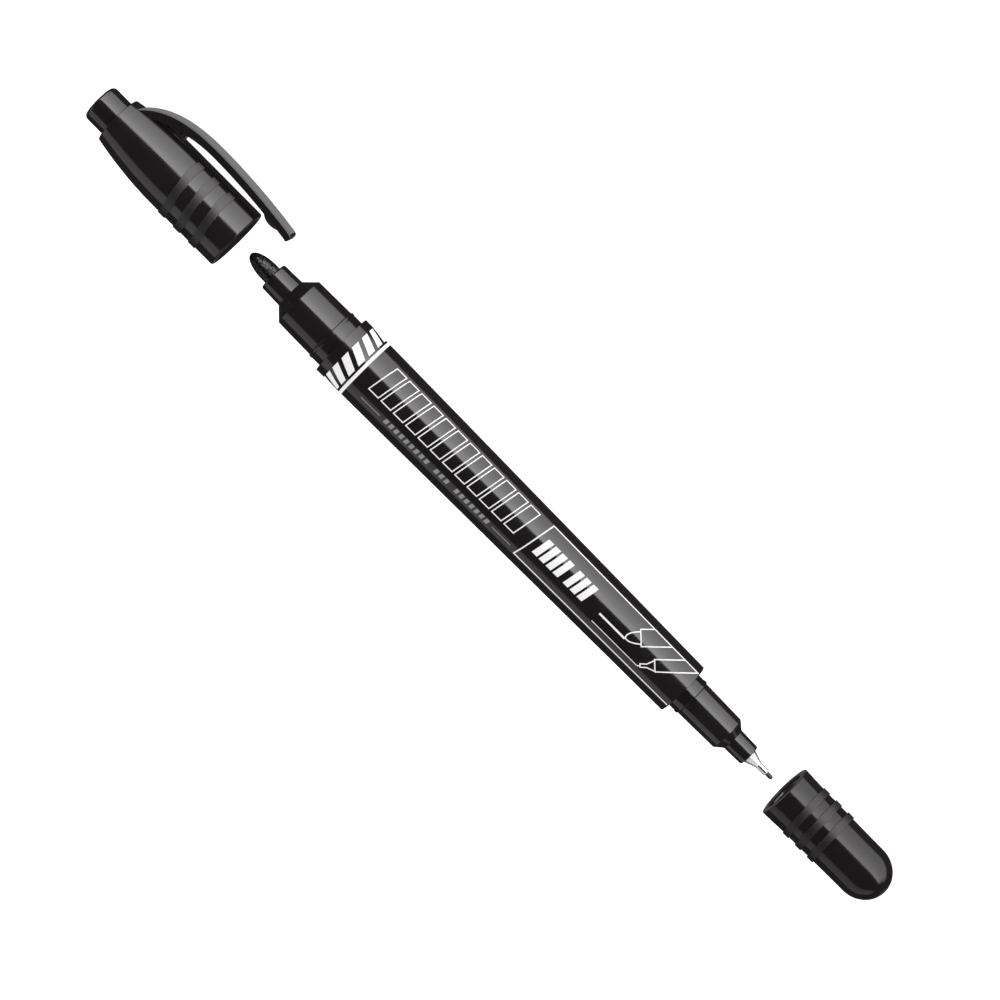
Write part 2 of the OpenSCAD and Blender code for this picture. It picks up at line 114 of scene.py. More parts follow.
def smooth(t):
    t = min(1, max(0, t))
    return t * t * (3 - 2 * t)


def spread(start, end, count):
    """count + 1 numbers from start to end."""
    return [start + (end - start) * i / count for i in range(count + 1)]


def quarter_turn(steps):
    """(sine, cosine) at even steps from 0 to 90 degrees."""
    return [(math.sin(a), math.cos(a)) for a in spread(0, math.pi / 2, steps)]


def rounded(corners, closed=False, steps=ARC_STEPS):
    """An outline through 2D corners, where a corner (a, b, radius) becomes an arc of that radius."""
    outline = []
    for i, corner in enumerate(corners):
        inside = closed or 0 < i < len(corners) - 1
        if len(corner) == 2 or not inside:
            outline.append(Vector(corner[:2]))
            continue
        point, radius = Vector(corner[:2]), corner[2]
        back = (Vector(corners[i - 1][:2]) - point).normalized()
        on = (Vector(corners[(i + 1) % len(corners)][:2]) - point).normalized()
        half = back.angle(on) / 2
        turn = math.pi - 2 * half
        centre = point + (back + on).normalized() * radius / math.sin(half)
        first = point + back * radius / math.tan(half) - centre
        last = point + on * radius / math.tan(half) - centre
        for t in spread(0, 1, steps):
            arm = first * math.sin((1 - t) * turn) + last * math.sin(t * turn)
            outline.append(centre + arm / math.sin(turn))
    return [tuple(p) for p in outline]


def cubic(points, t):
    """A point on a cubic curve with four 2D control points."""
    a, b, c, d = [Vector(p) for p in points]
    s = 1 - t
    return a * s**3 + b * 3 * s * s * t + c * 3 * s * t * t + d * t**3


def skin(rows, loop=False):
    """Points and faces of a surface through closed rows of points. A row of one point is a pole, and
    loop joins the last row to the first. Each face carries the number of the row that it starts from."""
    points, starts = [], []
    for row in rows:
        starts.append(len(points))
        points.extend(row)
    faces, bands = [], []
    pairs = [(i, i + 1) for i in range(len(rows) - 1)] + ([(len(rows) - 1, 0)] if loop else [])
    for i, j in pairs:
        a, b, n, m = starts[i], starts[j], len(rows[i]), len(rows[j])
        if n == 1 and m == 1:
            continue
        for k in range(max(n, m)):
            q = (k + 1) % max(n, m)
            if n == 1:
                faces.append((a, b + q, b + k))
            elif m == 1:
                faces.append((a + k, a + q, b))
            else:
                faces.append((a + k, a + q, b + q, b + k))
            bands.append((i, k))
    return points, faces, bands


def capped(rows):
    """A skin whose first and last rows are closed by flat faces."""
    points, faces, bands = skin(rows)
    size, last = len(rows[0]), len(points) - len(rows[-1])
    faces += [tuple(range(size)), tuple(range(last, last + size))]
    return points, faces, bands + [(0, 0), (len(rows) - 1, 0)]


def joined(parts):
    """Several (points, faces, bands) as one."""
    points, faces, bands = [], [], []
    for some_points, some_faces, some_bands in parts:
        shift = len(points)
        points += some_points
        faces += [tuple(shift + i for i in face) for face in some_faces]
        bands += some_bands
    return points, faces, bands


def new_object(name, data):
    thing = bpy.data.objects.new(name, data)
    bpy.context.scene.collection.objects.link(thing)
    return thing


def soften(thing):
    """Shades a thing smooth except over its sharp edges."""
    thing.data.shade_smooth()
    thing.data.set_sharp_from_angle(angle=SHARP_ANGLE)
    thing.modifiers.new(SOFT_NORMALS, "WEIGHTED_NORMAL").keep_sharp = True


def piece(name, shape, body, materials, stands_for=(), finish_of=None, end=(0, 1)):
    """Makes a mesh of a shape whose points are (u, y, z) from the given end, and lets it ride on a body.
    finish_of says which of the materials a face takes, from its band."""
    points, faces, bands = shape
    origin, way = end
    mesh = bpy.data.meshes.new(name)
    places = [PEN @ Vector((origin + way * u, y, z)) for u, y, z in points]
    mesh.from_pydata(places, [], faces)
    for material in materials:
        mesh.materials.append(material)
    if finish_of:
        for face, band in zip(mesh.polygons, bands):
            face.material_index = finish_of(*band)
    whole = bmesh.new()
    whole.from_mesh(mesh)
    bmesh.ops.remove_doubles(whole, verts=whole.verts, dist=MERGE)
    bmesh.ops.dissolve_degenerate(whole, edges=whole.edges, dist=MERGE)
    bmesh.ops.recalc_face_normals(whole, faces=whole.faces)
    whole.to_mesh(mesh)
    whole.free()
    thing = new_object(name, mesh)
    soften(thing)
    if body:
        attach(thing, body)
    if stands_for:
        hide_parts(*stands_for)
    return thing


def ring_row(u, r):
    """One turned row of points, or the pole where the radius is nothing."""
    if r < MERGE:
        return [(u, 0, 0)]
    return [(u, *polar(r, a)) for a in spread(0, 360, SEGMENTS)[:-1]]


def turned(corners):
    """A closed turned solid, whose corners are (distance along the pen, radius, rounding)."""
    return skin([ring_row(u, r) for u, r in rounded(corners, closed=True)], loop=True)


def nose(tip, length, r, steps):
    """Outline of a rounded end, which narrows over a length to its tip on the axis."""
    return [(tip - length + length * s, r * c) for s, c in quarter_turn(steps)]


# ---- Materials ----


class Finish:
    """A new Principled material and the few node chains that the pen's finishes are made of."""

    def __init__(self, name, **shader):
        self.material = bpy.data.materials.new(name)
        self.material.use_nodes = True
        self.tree = self.material.node_tree
        self.shader = self.tree.nodes["Principled BSDF"]
        self.place = self.tree.nodes.new("ShaderNodeTexCoord").outputs["Object"]
        for socket, value in shader.items():
            self.shader.inputs[socket.replace("_", " ")].default_value = value

    def link(self, output, node, socket):
        self.tree.links.new(output, node.inputs[socket])

    def noise(self, size, detail, stretch=(1, 1, 1), roughness=0.5):
        """Noise whose spots are about size millimetres wide, drawn out by stretch."""
        mapping = self.tree.nodes.new("ShaderNodeMapping")
        mapping.inputs["Scale"].default_value = [1 / (size * MM * s) for s in stretch]
        self.link(self.place, mapping, "Vector")
        texture = self.tree.nodes.new("ShaderNodeTexNoise")
        texture.inputs["Scale"].default_value = 1
        texture.inputs["Detail"].default_value = detail
        texture.inputs["Roughness"].default_value = roughness
        self.link(mapping.outputs["Vector"], texture, "Vector")
        return texture.outputs["Fac"]

    def span(self, factor, low, high, start=0.3, end=0.7):
        """The factor's stretch from start to end, turned into low to high."""
        node = self.tree.nodes.new("ShaderNodeMapRange")
        for socket, value in zip(("From Min", "From Max", "To Min", "To Max"), (start, end, low, high)):
            node.inputs[socket].default_value = value
        self.link(factor, node, "Value")
        return node.outputs["Result"]

    def facing(self):
        """0 where a surface faces the viewer, rising to 1 where it turns away."""
        node = self.tree.nodes.new("ShaderNodeLayerWeight")
        node.inputs["Blend"].default_value = 0.5
        return node.outputs["Facing"]

    def add(self, first, second):
        node = self.tree.nodes.new("ShaderNodeMath")
        node.operation = "ADD"
        self.link(first, node, 0)
        self.link(second, node, 1)
        return node.outputs["Value"]

    def colours(self, factor, *stops):
        """A colour ramp with stops (place, colour)."""
        ramp = self.tree.nodes.new("ShaderNodeValToRGB")
        marks = ramp.color_ramp.elements
        while len(marks) < len(stops):
            marks.new(0.5)
        for mark, (place, colour) in zip(marks, stops):
            mark.position = place
            mark.color = (*colour, 1)
        self.link(factor, ramp, "Fac")
        self.link(ramp.outputs["Color"], self.shader, "Base Color")

    def roughness(self, value):
        self.link(value, self.shader, "Roughness")

    def spark_texture(self):
        """The fine spark-eroded surface of a satin mould."""
        self.roughness(self.span(self.noise(1.2, detail=4), 0.4, 0.48))
        self.relief(self.noise(0.06, detail=2), 0.0015)

    def relief(self, height, depth):
        """Bumps of the given depth in millimetres."""
        bump = self.tree.nodes.new("ShaderNodeBump")
        bump.inputs["Distance"].default_value = depth * MM
        bump.inputs["Strength"].default_value = 1
        self.link(height, bump, "Height")
        self.link(bump.outputs["Normal"], self.shader, "Normal")


BLACK = (0.0112, 0.0086, 0.0092)
BLACK_WORN = (0.0138, 0.0110, 0.0118)


def moulded_black(name, shine=(0.11, 0.16), level=0.5, wave=0.0006, tones=(BLACK, BLACK_WORN)):
    """Polished black polypropylene: a slow colour drift, handling haze, hairline rubs, orange peel."""
    finish = Finish(name, Specular_IOR_Level=level, IOR=1.5)
    finish.colours(finish.noise(7, detail=4), (0.35, tones[0]), (0.7, tones[1]))
    haze = finish.span(finish.noise(4, detail=5), *shine)
    rubs = finish.span(finish.noise(0.12, stretch=(40, 1, 1), detail=2), 0, 0.04, 0.62, 0.8)
    finish.roughness(finish.add(haze, rubs))
    finish.relief(finish.noise(1.6, detail=2), wave)
    return finish.material


def satin_black(name, level=0.5):
    """The satin black of the grip rings."""
    finish = Finish(name, Specular_IOR_Level=level, IOR=1.5)
    finish.colours(finish.noise(5, detail=4), (0.35, BLACK), (0.7, BLACK_WORN))
    finish.spark_texture()
    return finish.material


def clip_back():
    """The clip's satin back, with a painted sheen: its base colour turns grey where it is seen at a
    glancing angle.
    """
    finish = Finish("clip_back", Specular_IOR_Level=0.5, IOR=1.5)
    # painted sheen: grey base colour where the back is seen at a glancing angle, black where it faces the
    # viewer
    painted_sheen = finish.span(finish.facing(), 0, 1, 0.4, 0.65)
    drift = finish.span(finish.noise(5, detail=4), -0.06, 0.06)
    finish.colours(finish.add(painted_sheen, drift), (0.06, BLACK), (0.94, (0.142, 0.142, 0.145)))
    finish.spark_texture()
    return finish.material


def printed_ink(name, pale, thin):
    """Screen printed ink: slightly uneven cover with a fine dry texture."""
    finish = Finish(name, Specular_IOR_Level=0.3)
    finish.colours(finish.noise(0.4, detail=5), (0.3, thin), (0.55, pale))
    finish.roughness(finish.span(finish.noise(0.5, detail=3), 0.45, 0.6))
    finish.relief(finish.noise(0.05, detail=2), 0.001)
    return finish.material


def inked_felt():
    """Pressed fibres, soaked with black ink, that catch the light along their length."""
    finish = Finish("inked_felt")
    fibres = finish.noise(0.2, stretch=(2.6, 1, 1), detail=5, roughness=0.7)
    finish.colours(fibres, (0.45, (0.0008, 0.0007, 0.0007)), (0.75, (0.010, 0.0095, 0.010)))
    finish.roughness(finish.span(fibres, 0.45, 0.28))
    finish.link(finish.span(fibres, 0.0, 1.0, 0.42, 0.62), finish.shader, "Specular IOR Level")
    finish.relief(fibres, 0.06)
    return finish.material


def inked_fibre():
    """The hard, finely grained rod of the fine nib."""
    finish = Finish("inked_fibre", Specular_IOR_Level=0.5)
    grain = finish.noise(0.07, stretch=(6, 1, 1), detail=4)
    finish.colours(grain, (0.35, (0.012, 0.011, 0.012)), (0.7, (0.045, 0.043, 0.045)))
    finish.roughness(finish.span(grain, 0.5, 0.35))
    finish.relief(grain, 0.01)
    return finish.material


def drawn_steel():
    """Nickel plated tube with faint lines from drawing it. Its colour is a painted reflection: near white
    where it faces the viewer, and painted shade, dark, where it curves away from the viewer.
    """
    finish = Finish("drawn_steel", Metallic=0.2)
    lines = finish.noise(0.05, stretch=(25, 1, 1), detail=3)
    # painted reflection and shade: the colour runs from near white facing the viewer to dark where the
    # tube curves away, jittered by the drawing lines
    away = finish.add(finish.facing(), finish.span(lines, -0.03, 0.03))
    bright, dull, dark, edge = [(v, v, v * 1.01) for v in (0.95, 0.86, 0.09, 0.02)]
    finish.colours(away, (0.02, bright), (0.27, dull), (0.5, dark), (0.95, edge))
    finish.roughness(finish.span(lines, 0.25, 0.35))
    finish.relief(lines, 0.001)
    return finish.material


def reservoir_fibre():
    """Spun polyester bundle, stained by the ink in long streaks."""
    finish = Finish("reservoir_fibre", Specular_IOR_Level=0.3)
    streaks = finish.noise(0.3, stretch=(30, 1, 1), detail=5)
    finish.colours(streaks, (0.35, (0.010, 0.010, 0.013)), (0.65, (0.055, 0.055, 0.065)))
    finish.roughness(finish.span(streaks, 0.7, 0.9))
    finish.relief(streaks, 0.03)
    return finish.material


def wrap_film():
    """Thin, slightly milky film that holds the bundle together."""
    finish = Finish("wrap_film", Specular_IOR_Level=0.5)
    folds = finish.noise(1.2, stretch=(6, 1, 1), detail=4)
    finish.colours(folds, (0.3, (0.62, 0.62, 0.58)), (0.7, (0.76, 0.76, 0.73)))
    finish.roughness(finish.span(folds, 0.25, 0.4))
    finish.relief(folds, 0.02)
    return finish.material


def soft_liner():
    """Dark grey soft polyethylene, faintly waxy and cloudy."""
    finish = Finish("soft_liner", Specular_IOR_Level=0.4)
    cloud = finish.noise(2, detail=4)
    finish.colours(cloud, (0.3, (0.043, 0.043, 0.044)), (0.7, (0.058, 0.058, 0.060)))
    finish.roughness(finish.span(cloud, 0.35, 0.5))
    finish.relief(finish.noise(0.3, detail=2), 0.004)
    return finish.material


GLOSS = moulded_black("barrel_gloss")
SECTION_GLOSS = moulded_black("section_gloss")
CAP_GLOSS = moulded_black("cap_gloss")
CAP_SATIN = satin_black("cap_satin")
CAP_BORE = moulded_black("cap_bore", level=0.4, tones=((0.034, 0.028, 0.029), (0.042, 0.035, 0.036)))
# The small cap's plastics reflect less than the other black parts: a painted shade that dims their
# highlights in place of weaker light at the fine end
SMALL_CAP_GLOSS = moulded_black("small_cap_gloss", level=0.3)
SMALL_CAP_SATIN = satin_black("small_cap_satin", level=0.35)
WHITE_INK = printed_ink("white_ink", (0.98, 0.98, 0.975), (0.93, 0.93, 0.925))
GREY_INK = printed_ink("grey_ink", (0.29, 0.29, 0.295), (0.23, 0.23, 0.235))


# ---- Pen body ----

WIDE_R = 5.87
NARROW_R = 5.0
WIDE_SEAT_R = 4.75
NARROW_SEAT_R = 4.1
SEAT_DEPTH = 9
BARREL_LIP = 1.2
NECK_R = 3.53
FINE_SECTION_LENGTH = 15.85
SLEEVE_SOCKET = 3.6
NIB_BACK = -18.0
NIB_TIP = 21.3
SNUG = 0.02


def barrel_radius(x):
    """Outer radius of the tapered barrel at a place along the pen."""
    return NARROW_R + (WIDE_R - NARROW_R) * (x - NARROW_END) / BARREL_LENGTH


def make_barrel():
    """The tapered tube, with a thin lip at its narrow end."""
    corners = [
        (0, NECK_R + SNUG, 0.05),
        (0, NARROW_R, 0.12),
        (BARREL_LENGTH, WIDE_R, 0.1),
        (BARREL_LENGTH, WIDE_SEAT_R, 0.05),
        (BARREL_LENGTH - SEAT_DEPTH, WIDE_SEAT_R),
        (SEAT_DEPTH, NARROW_SEAT_R),
        (BARREL_LIP, NARROW_SEAT_R),
        (BARREL_LIP, NECK_R + SNUG, 0.05),
    ]
    piece("barrel_tube", turned(corners), "pen_body", [GLOSS], ["barrel"], end=BARREL)


def snap_bead(start, end, base_r, top_r):
    """Corners of the raised bead that a cap snaps over, with a slope on its first quarter."""
    fillet, slope = 0.12, (end - start) / 4
    return [(start, base_r, fillet), (start + slope, top_r, fillet), (end - slope, top_r, fillet)]


def make_bullet_section():
    """The nib holder of the bullet end: a collar with a snap bead, the body, a cone and the front."""
    length, front_r, nib_r, hollow_r = 16.1, 2.66, 1.74, 3.9
    collar_r, bead_start, bead_end, bead_r = 4.98, 1.85, 2.55, 5.09
    corners = [
        (-SEAT_DEPTH, hollow_r),
        (-SEAT_DEPTH, WIDE_SEAT_R - SNUG, 0.2),
        (SNUG, WIDE_SEAT_R - SNUG),
        (SNUG, collar_r),
        *snap_bead(bead_start, bead_end, collar_r, bead_r),
        (bead_end, 4.88, 0.03),
        (9.9, 4.78, 0.06),
        (11.95, 2.75, 0.05),
        (length, front_r, 0.4),
        (length, nib_r, 0.06),
        (10.5, nib_r),
        (7.5, 2.5),
        (4.5, hollow_r),
    ]
    shape, slot = turned(corners), "section_plastic"
    piece("bullet_holder", shape, "pen_body", [SECTION_GLOSS], ["bullet_section"], end=BULLET_END)


def make_bullet_nib():
    """A felt rod ground to a long rounded point, with fibres that stand slightly proud."""
    point, straight_end, r = 4.3, 14, 1.72
    outline = [(NIB_BACK, 0), (NIB_BACK, r / 2), (NIB_BACK + r, r)]
    outline += [(u, r) for u in spread(NIB_BACK + 2 * r, straight_end, 8)]
    outline += nose(NIB_TIP, point, r, 28)
    rows = []
    for u, radius in outline:
        pressed = [(felt_relief(*place), place) for place in ring_row(u, radius)]
        rows.append([(x, y * share, z * share) for share, (x, y, z) in pressed])
    piece("bullet_tip", skin(rows), "pen_body", [inked_felt()], ["bullet_nib"], end=BULLET_END)


def felt_relief(x, y, z):
    """Share of the radius left where the felt is pressed in."""
    depth, angle = 0.006, math.atan2(y, z)
    fibres = math.sin(23 * angle + 4 * math.sin(3.1 * x))
    return 1 - depth * (1 + fibres * math.sin(5 * x + 2 * angle))


def make_fine_section():
    """The nib holder of the fine end, with a socket in its front for the metal sleeve."""
    front_r, shank_r, feed_r, hollow_r = 2.0, 1.32, 1.12, 2.5
    bead_start, bead_end, bead_r = 1.45, 2.25, 3.62
    socket = FINE_SECTION_LENGTH - SLEEVE_SOCKET
    corners = [
        (-SEAT_DEPTH, hollow_r),
        (-SEAT_DEPTH, NARROW_SEAT_R - SNUG, 0.2),
        (-BARREL_LIP, NARROW_SEAT_R - SNUG),
        (-BARREL_LIP, NECK_R),
        *snap_bead(bead_start, bead_end, NECK_R, bead_r),
        (bead_end, 3.4, 0.03),
        (10.5, 3.26, 0.05),
        (11.9, 2.1, 0.05),
        (FINE_SECTION_LENGTH, front_r, 0.3),
        (FINE_SECTION_LENGTH, shank_r, 0.04),
        (socket, shank_r),
        (socket, feed_r),
        (9, feed_r),
        (7.5, hollow_r),
    ]
    shape, slot = turned(corners), "section_plastic"
    piece("fine_holder", shape, "pen_body", [SECTION_GLOSS], ["fine_section"], end=FINE_END)


def make_fine_sleeve():
    """Metal cone and tube. Three slots pinch the tube on to the nib."""
    base, cone_end, tube_end = FINE_SECTION_LENGTH + SNUG / 2, 18.1, 19.95
    shank_r, cone_r, tube_r, bore_r = 1.3, 1.36, 0.6, 0.43
    back = FINE_SECTION_LENGTH - SLEEVE_SOCKET + SNUG
    corners = [
        (back, bore_r),
        (back, shank_r, 0.1),
        (base, shank_r),
        (base, cone_r, 0.02),
        (cone_end, tube_r, 0.6),
        (tube_end, tube_r, 0.06),
        (tube_end, bore_r, 0.03),
    ]
    shape, slot = turned(corners), "sleeve_metal"
    steel, stands_for = drawn_steel(), ["fine_nib_sleeve"]
    sleeve = piece("fine_sleeve", shape, "pen_body", [steel], stands_for, end=FINE_END)
    slot_w, slot_length, slot_end = 0.4, 1.75, tube_end - 0.15
    inside, outside = bore_r - SNUG, 1
    cutters = []
    for turn in (90, 210, 330):
        rows = []
        for u in (slot_end - slot_length, slot_end):
            row = []
            for side, r in ((-1, inside), (1, inside), (1, outside), (-1, outside)):
                y, z = polar(r, turn)
                across_y, across_z = polar(side * slot_w / 2, turn + 90)
                row.append((u, y + across_y, z + across_z))
            rows.append(row)
        cutters.append(capped(rows))
    cut(sleeve, piece("slot_cutter", joined(cutters), None, [], end=FINE_END))


def cut(thing, cutter):
    """Takes the cutter's shape out of a thing for good, and removes the cutter."""
    thing.modifiers.remove(thing.modifiers[SOFT_NORMALS])
    boolean = thing.modifiers.new("cut", "BOOLEAN")
    boolean.operation = "DIFFERENCE"
    boolean.solver = "EXACT"
    boolean.object = cutter
    bpy.context.view_layer.update()
    made = thing.evaluated_get(bpy.context.evaluated_depsgraph_get())
    mesh = bpy.data.meshes.new_from_object(made)
    thing.modifiers.remove(boolean)
    thing.data = mesh
    soften(thing)
    bpy.data.objects.remove(cutter)


def make_fine_nib():
    """A thick feed rod that steps down to the thin rod in the sleeve."""
    feed_end, feed_r, edge, r = 11.5, 1.1, 0.2, 0.41
    outline = [(NIB_BACK, 0), (NIB_BACK, feed_r / 2), (NIB_BACK + feed_r, feed_r)]
    outline += [(feed_end - edge, feed_r), (feed_end, feed_r - edge), (feed_end, r)]
    outline += [(NIB_TIP - 2 * r, r), *nose(NIB_TIP, r, r, 12)]
    shape = skin([ring_row(u, radius) for u, radius in outline])
    piece("fine_tip", shape, "pen_body", [inked_fibre()], ["fine_nib"], end=FINE_END)


# ---- Bullet cap ----

CAP_LENGTH = 28.1
CAP_R = 5.9
SHOULDER_R = 4.5
TAPER_AT = 14.05
CAP_WALL = 0.75
PLUG_HOLE_R = 3.32
FLAT_HEIGHT = 5.58
FLAT_HALF_W = 1.9
FLAT_END = 23.5
RING_AT = (5.1, 8.63, 12.16)
RING_W = 1.55
RING_RISE = 0.17
RING_WAVE = 0.5
RING_CREST = 48
RING_STOP = 28
RING_ROOM = 1.1
WAVE_FROM = 0.8
EDGE = 0.12


def cap_radius(u):
    """The shell is a cylinder that narrows along a parabola towards its shoulder."""
    along = max(0, u - TAPER_AT) / (CAP_LENGTH - TAPER_AT)
    return CAP_R - (CAP_R - SHOULDER_R) * along * along


def ring_outline(rise, width):
    """(distance from the ring's middle, height) across one raised ring."""
    half, foot = width / 2, 0.12
    slope = [(half, rise, 0.06), (half, 0, 0.04), (half + foot, 0)]
    return rounded([(-corner[0], *corner[1:]) for corner in reversed(slope)] + slope, steps=4)


def add_rings(rows, row_at, places, room, between, outline):
    """Adds the rows across raised rings and the plain stretches between them. It gives the numbers of
    the rows that lie on a ring's top."""
    top = max(rise for du, rise in outline)
    satin = set()
    for i, at in enumerate(places):
        if i:
            rows += [row_at(u) for u in spread(places[i - 1] + room, at - room, between)]
        for du, rise in outline:
            if rise > top * 0.9:
                satin.add(len(rows))
            rows.append(row_at(at + du, rise=rise))
    return satin


def cap_columns():
    """Where the points of one row lie round the shell, on the side of positive y: first the flat, then
    its corner, then the round wall, which starts wherever the flat's side wall meets it."""
    flat = [("flat", f) for f in (0, 0.3, 0.6, 0.9)]
    corner = [("corner", f) for f in spread(0, 1, 4)]
    near = [("near", f) for f in (0, 0.35, 0.7, 0.97)]
    angles = [RING_STOP, RING_STOP + 0.4] + spread(RING_STOP + 2, 180, 84)
    return flat + corner + near + [("wall", angle) for angle in angles]


COLUMNS = cap_columns()


def cap_point(u, inset, column):
    """(y, z, degrees) of one column at a place along the shell, moved in by inset."""
    kind, f = column
    r = cap_radius(u) - inset
    foot = math.sqrt(r * r - FLAT_HALF_W**2)
    has_flat = u <= FLAT_END
    height = FLAT_HEIGHT - inset if has_flat else foot
    bevel = min(EDGE, 0.45 * max(0, height - foot))
    if kind == "flat":
        y = f * (FLAT_HALF_W - bevel)
        z = height if has_flat else math.sqrt(r * r - y * y)
    elif kind == "corner":
        a = math.radians(90 * f)
        y = FLAT_HALF_W - bevel + bevel * math.sin(a)
        z = height - bevel + bevel * math.cos(a)
    else:
        start = math.degrees(math.asin(FLAT_HALF_W / r))
        y, z = polar(r, start + (RING_STOP - start) * f if kind == "near" else f)
    return y, z, math.degrees(math.atan2(y, z))


def fading(u, start, places, width, past):
    """1 over a set of rings. It fades to 0 at a place before them and within a length past them."""
    first, last = places[0] - width, places[-1] + width
    return smooth((u - start) / (first - start)) * smooth((last + past - u) / past)


def wave_at(u, degrees):
    """How far the rings' wave moves a point along the shell."""
    wave = RING_WAVE * math.cos(math.radians(2 * (degrees - RING_CREST)))
    return wave * fading(u, WAVE_FROM, RING_AT, RING_W, 4)


def cap_row(u, inset=0.0, rise=0.0, bore=None):
    """One row of the shell: its outside, or its bore where a radius is given."""
    row = []
    for side in (1, -1):
        columns = COLUMNS if side == 1 else COLUMNS[-2:0:-1]
        for column in columns:
            y, z, degrees = cap_point(u, inset, column)
            place = u if bore else u + wave_at(u, side * degrees)
            y, z, degrees = cap_point(place, inset, column)
            if bore:
                y, z = polar(bore, degrees)
            elif rise and column[0] == "wall" and column[1] > RING_STOP:
                y, z = polar(cap_radius(place) - inset + rise, degrees)
            row.append((place, side * y, z))
    return row


def make_cap_shell():
    """The larger cap, in rows from its mouth to its shoulder and back through its bore."""
    mouth, shoulder, end_wall, bore_r = 0.4, 0.2, 1.2, CAP_R - CAP_WALL
    rings_from, rings_to = RING_AT[0] - RING_W / 2 - 0.4, RING_AT[-1] + RING_ROOM
    rows = [cap_row(mouth - mouth * c, inset=mouth - mouth * s) for s, c in quarter_turn(8)]
    rows += [cap_row(u) for u in spread(WAVE_FROM, rings_from, 9)]
    satin = add_rings(rows, cap_row, RING_AT, RING_ROOM, 3, ring_outline(RING_RISE, RING_W))
    rows += [cap_row(u) for u in spread(rings_to, FLAT_END, 34)]
    rows += [cap_row(u) for u in spread(FLAT_END + 0.0001, CAP_LENGTH - 0.25, 12)]
    round_from = CAP_LENGTH - shoulder
    rows += [cap_row(round_from + shoulder * s, inset=shoulder - shoulder * c) for s, c in quarter_turn(6)]
    bore_from, inner_end = len(rows), CAP_LENGTH - end_wall
    rows += [cap_row(u, bore=PLUG_HOLE_R) for u in (CAP_LENGTH, inner_end)]
    rows += [cap_row(u, bore=cap_radius(u) - CAP_WALL) for u in spread(inner_end, TAPER_AT, 16)]
    rows += [cap_row(u, bore=bore_r) for u in spread(TAPER_AT - 1, EDGE, 6)]
    rows.append(cap_row(0, bore=bore_r + EDGE))
    size = len(rows[0])
    stop = sum(kind != "wall" for kind, _ in COLUMNS)

    def finish_of(row, column):
        if bore_from <= row < len(rows) - 1:
            return 2
        on_ring = row in satin and row + 1 in satin
        return int(on_ring and stop <= column < size - stop)

    shape, finishes = skin(rows, loop=True), [CAP_GLOSS, CAP_SATIN, CAP_BORE]
    stands_for = ["bullet_cap_shell"]
    piece("cap_shell", shape, "bullet_cap", finishes, stands_for, finish_of, BULLET_CAP)


def make_plug():
    """The inner cap, whose closed end is the plug in the shell's end."""
    mouth, step, rim_start, rim_end, end = 12.7, 13.7, 25.9, 26.88, 32.5
    bore_r, neck_r, r, rim_r, wall = 2.8, 3.3, 3.5, 4.0, 1.1
    outline = [
        (end - wall, 0),
        (end - wall, bore_r, 0.3),
        (mouth, bore_r),
        (mouth, r - 0.3, 0.05),
        (step, r, 0.5),
        (rim_start, r),
        (rim_start, rim_r, 0.1),
        (rim_end, rim_r, 0.1),
        (rim_end, neck_r),
        (CAP_LENGTH + SNUG, neck_r),
        (CAP_LENGTH + SNUG, r, 0.03),
        (end, r, 0.8),
        (end, 0),
    ]
    shape, stands_for = skin([ring_row(u, r) for u, r in rounded(outline)]), ["bullet_inner_cap"]
    piece("inner_cap", shape, "bullet_cap", [CAP_GLOSS], stands_for, end=BULLET_CAP)


# ---- Clip ----

CLIP_HALF_W = 2.5
CLIP_TOP = 9.07
CLIP_THICKNESS = 1.6
CLIP_ROOT = 27.0
CLIP_ROOT_HEIGHT = 3.9
CLIP_ROOT_LENGTH = 2.1
CLIP_CREST = 12.1
CLIP_TIP = -6.3
CLIP_TIP_DROP = 1.42
CLIP_CROWN = 0.2
CLIP_EDGE_STEPS = 5
WEB_HALF_W = 1.2
WEB_AT = 17.6


def clip_outer(t):
    """The clip's back in the side view, from its root (0) over its crest (1) to its free end (2)."""
    if t > 1:
        return arm_curve(CLIP_TOP, t - 1)
    start = (CLIP_ROOT, CLIP_ROOT_HEIGHT)
    lean = (CLIP_ROOT - 2.85, CLIP_TOP - 0.31 * (CLIP_TOP - SHOULDER_R))
    return cubic([start, lean, (CLIP_ROOT - 7.9, CLIP_TOP), (CLIP_CREST, CLIP_TOP)], t)


def clip_inner(t):
    """The clip's underside at the same share of its length."""
    under = CLIP_TOP - CLIP_THICKNESS
    if t > 1:
        return arm_curve(under, t - 1)
    start = (CLIP_ROOT - CLIP_ROOT_LENGTH, CLIP_ROOT_HEIGHT)
    lean = (CLIP_ROOT - 4.6, under - 1.77)
    return cubic([start, lean, (CLIP_ROOT - 9.4, under), (CLIP_CREST, under)], t)


def arm_curve(height, t):
    """The arm's long bow, from the crest to the free end."""
    crest, bow = (CLIP_CREST, height), (CLIP_CREST - 12.5, height - 0.52)
    return cubic([crest, (CLIP_CREST - 6, height), bow, (CLIP_TIP, height - CLIP_TIP_DROP)], t)


def clip_row(outer, inner, inset=0.0, along=0.0):
    """One cross-section of the clip: a crowned back, a flat underside and rounded edges."""
    up = outer - inner
    thickness = up.length
    up = up / thickness
    forward = Vector((-up.y, up.x))
    if forward.x > 0:
        forward = -forward
    top, low, half = thickness - inset, inset, CLIP_HALF_W - inset / 2
    low_edge, top_edge = (low, 0.18), (top - CLIP_CROWN, 0.3)
    crown = [(half * k, top - CLIP_CROWN * k * k) for k in (0.8, 0.5, 0.2, -0.2, -0.5, -0.8)]
    corners = [(half, *low_edge), (half, *top_edge), *crown, (-half, *top_edge), (-half, *low_edge)]
    row = []
    for across, height in rounded(corners, closed=True, steps=CLIP_EDGE_STEPS):
        place = inner + up * height + forward * along
        row.append((place.x, across, place.y))
    return row


